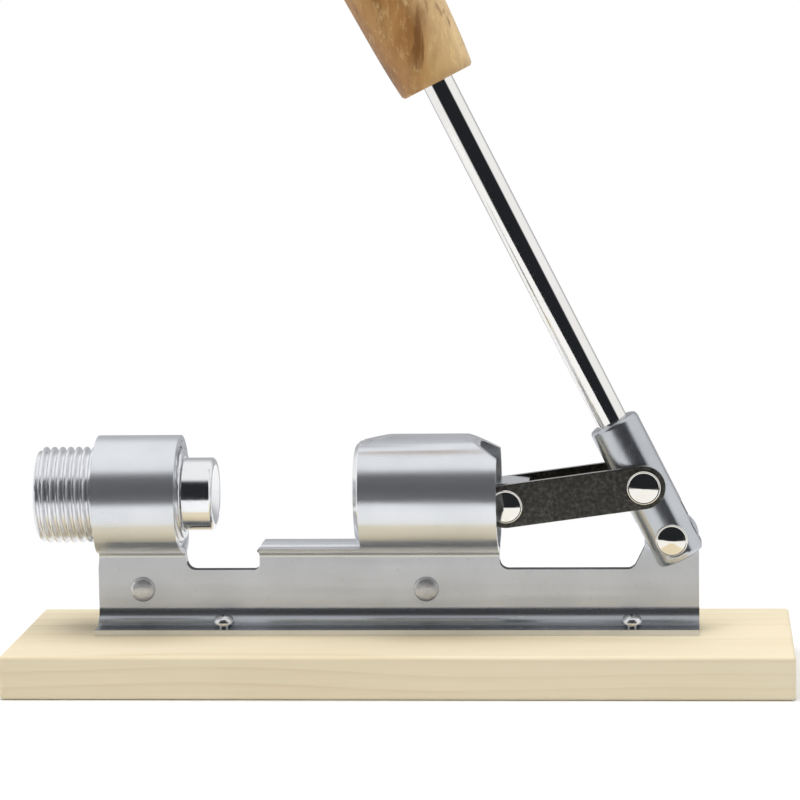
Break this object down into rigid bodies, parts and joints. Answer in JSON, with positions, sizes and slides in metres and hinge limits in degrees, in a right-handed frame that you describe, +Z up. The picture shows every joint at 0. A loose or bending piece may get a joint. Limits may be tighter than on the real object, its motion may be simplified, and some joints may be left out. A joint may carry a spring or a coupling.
{
  "type": "lever nutcracker press",
  "caption": "Bench nutcracker: a hand lever drives a round ram through side links against an adjustable threaded anvil in a sheet-metal cradle on a wooden board.",
  "frame": {"origin": "centre of the board's underside", "axes": "+X along the board towards the lever's pivot, +Y to the rear, +Z up"},
  "size_m": [0.25, 0.08, 0.2858],
  "materials": {
    "pine": "raw",
    "hardwood": "oiled",
    "plated_sheet": "satin",
    "turned_steel": "polished",
    "fastener_steel": "satin"
  },
  "bodies": {
    "frame": {"base_board": "pine", "frame_half_front": "plated_sheet", "frame_half_rear": "plated_sheet", "frame_rivet_left": "fastener_steel", "frame_rivet_right": "fastener_steel", "base_screw_front_left": "fastener_steel", "base_screw_front_right": "fastener_steel", "base_screw_rear_left": "fastener_steel", "base_screw_rear_right": "fastener_steel", "threaded_ring": "plated_sheet"},
    "lever": {"lever_boss": "turned_steel", "lever_rod": "turned_steel", "handle_grip": "hardwood", "lever_pivot_pin": "turned_steel", "link_lever_pin": "turned_steel"},
    "links": {"link_plate_front": "plated_sheet", "link_plate_rear": "plated_sheet", "link_ram_pin": "turned_steel"},
    "ram": {"ram": "turned_steel"},
    "anvil": {"anvil_nose": "turned_steel"},
    "adjuster": {"adjuster_barrel": "turned_steel"}
  },
  "joints": [
    {"name": "lever_pivot", "type": "hinge", "parent": "frame", "child": "lever", "pos_m": [0.0867, 0.005, 0.0441], "axis": [0, -1, 0], "range_deg": [-56.5, 18.5]},
    {"name": "link_pivot", "type": "hinge", "parent": "lever", "child": "links", "pos_m": [0.07795, 0.005, 0.06164], "axis": [0, -1, 0], "range_deg": [-19.5, 59.4]},
    {"name": "ram_slide", "type": "slide", "parent": "frame", "child": "ram", "axis": [-1, 0, 0], "range_m": [-0.0182, 0.006]},
    {"name": "anvil_feed", "type": "slide", "parent": "frame", "child": "anvil", "axis": [1, 0, 0], "range_m": [-0.0107, 0.0107]},
    {"name": "adjuster_turn", "type": "hinge", "parent": "anvil", "child": "adjuster", "pos_m": [-0.09, 0.005, 0.0585], "axis": [1, 0, 0], "range_deg": [-1440, 1440]}
  ],
  "couplings": [
    {"joint": "link_pivot", "follows": "lever_pivot", "ratio": -1.05},
    {"joint": "ram_slide", "follows": "lever_pivot", "m_per_rad": 0.0184},
    {"joint": "anvil_feed", "follows": "adjuster_turn", "m_per_rad": 0.00042494}
  ]
}
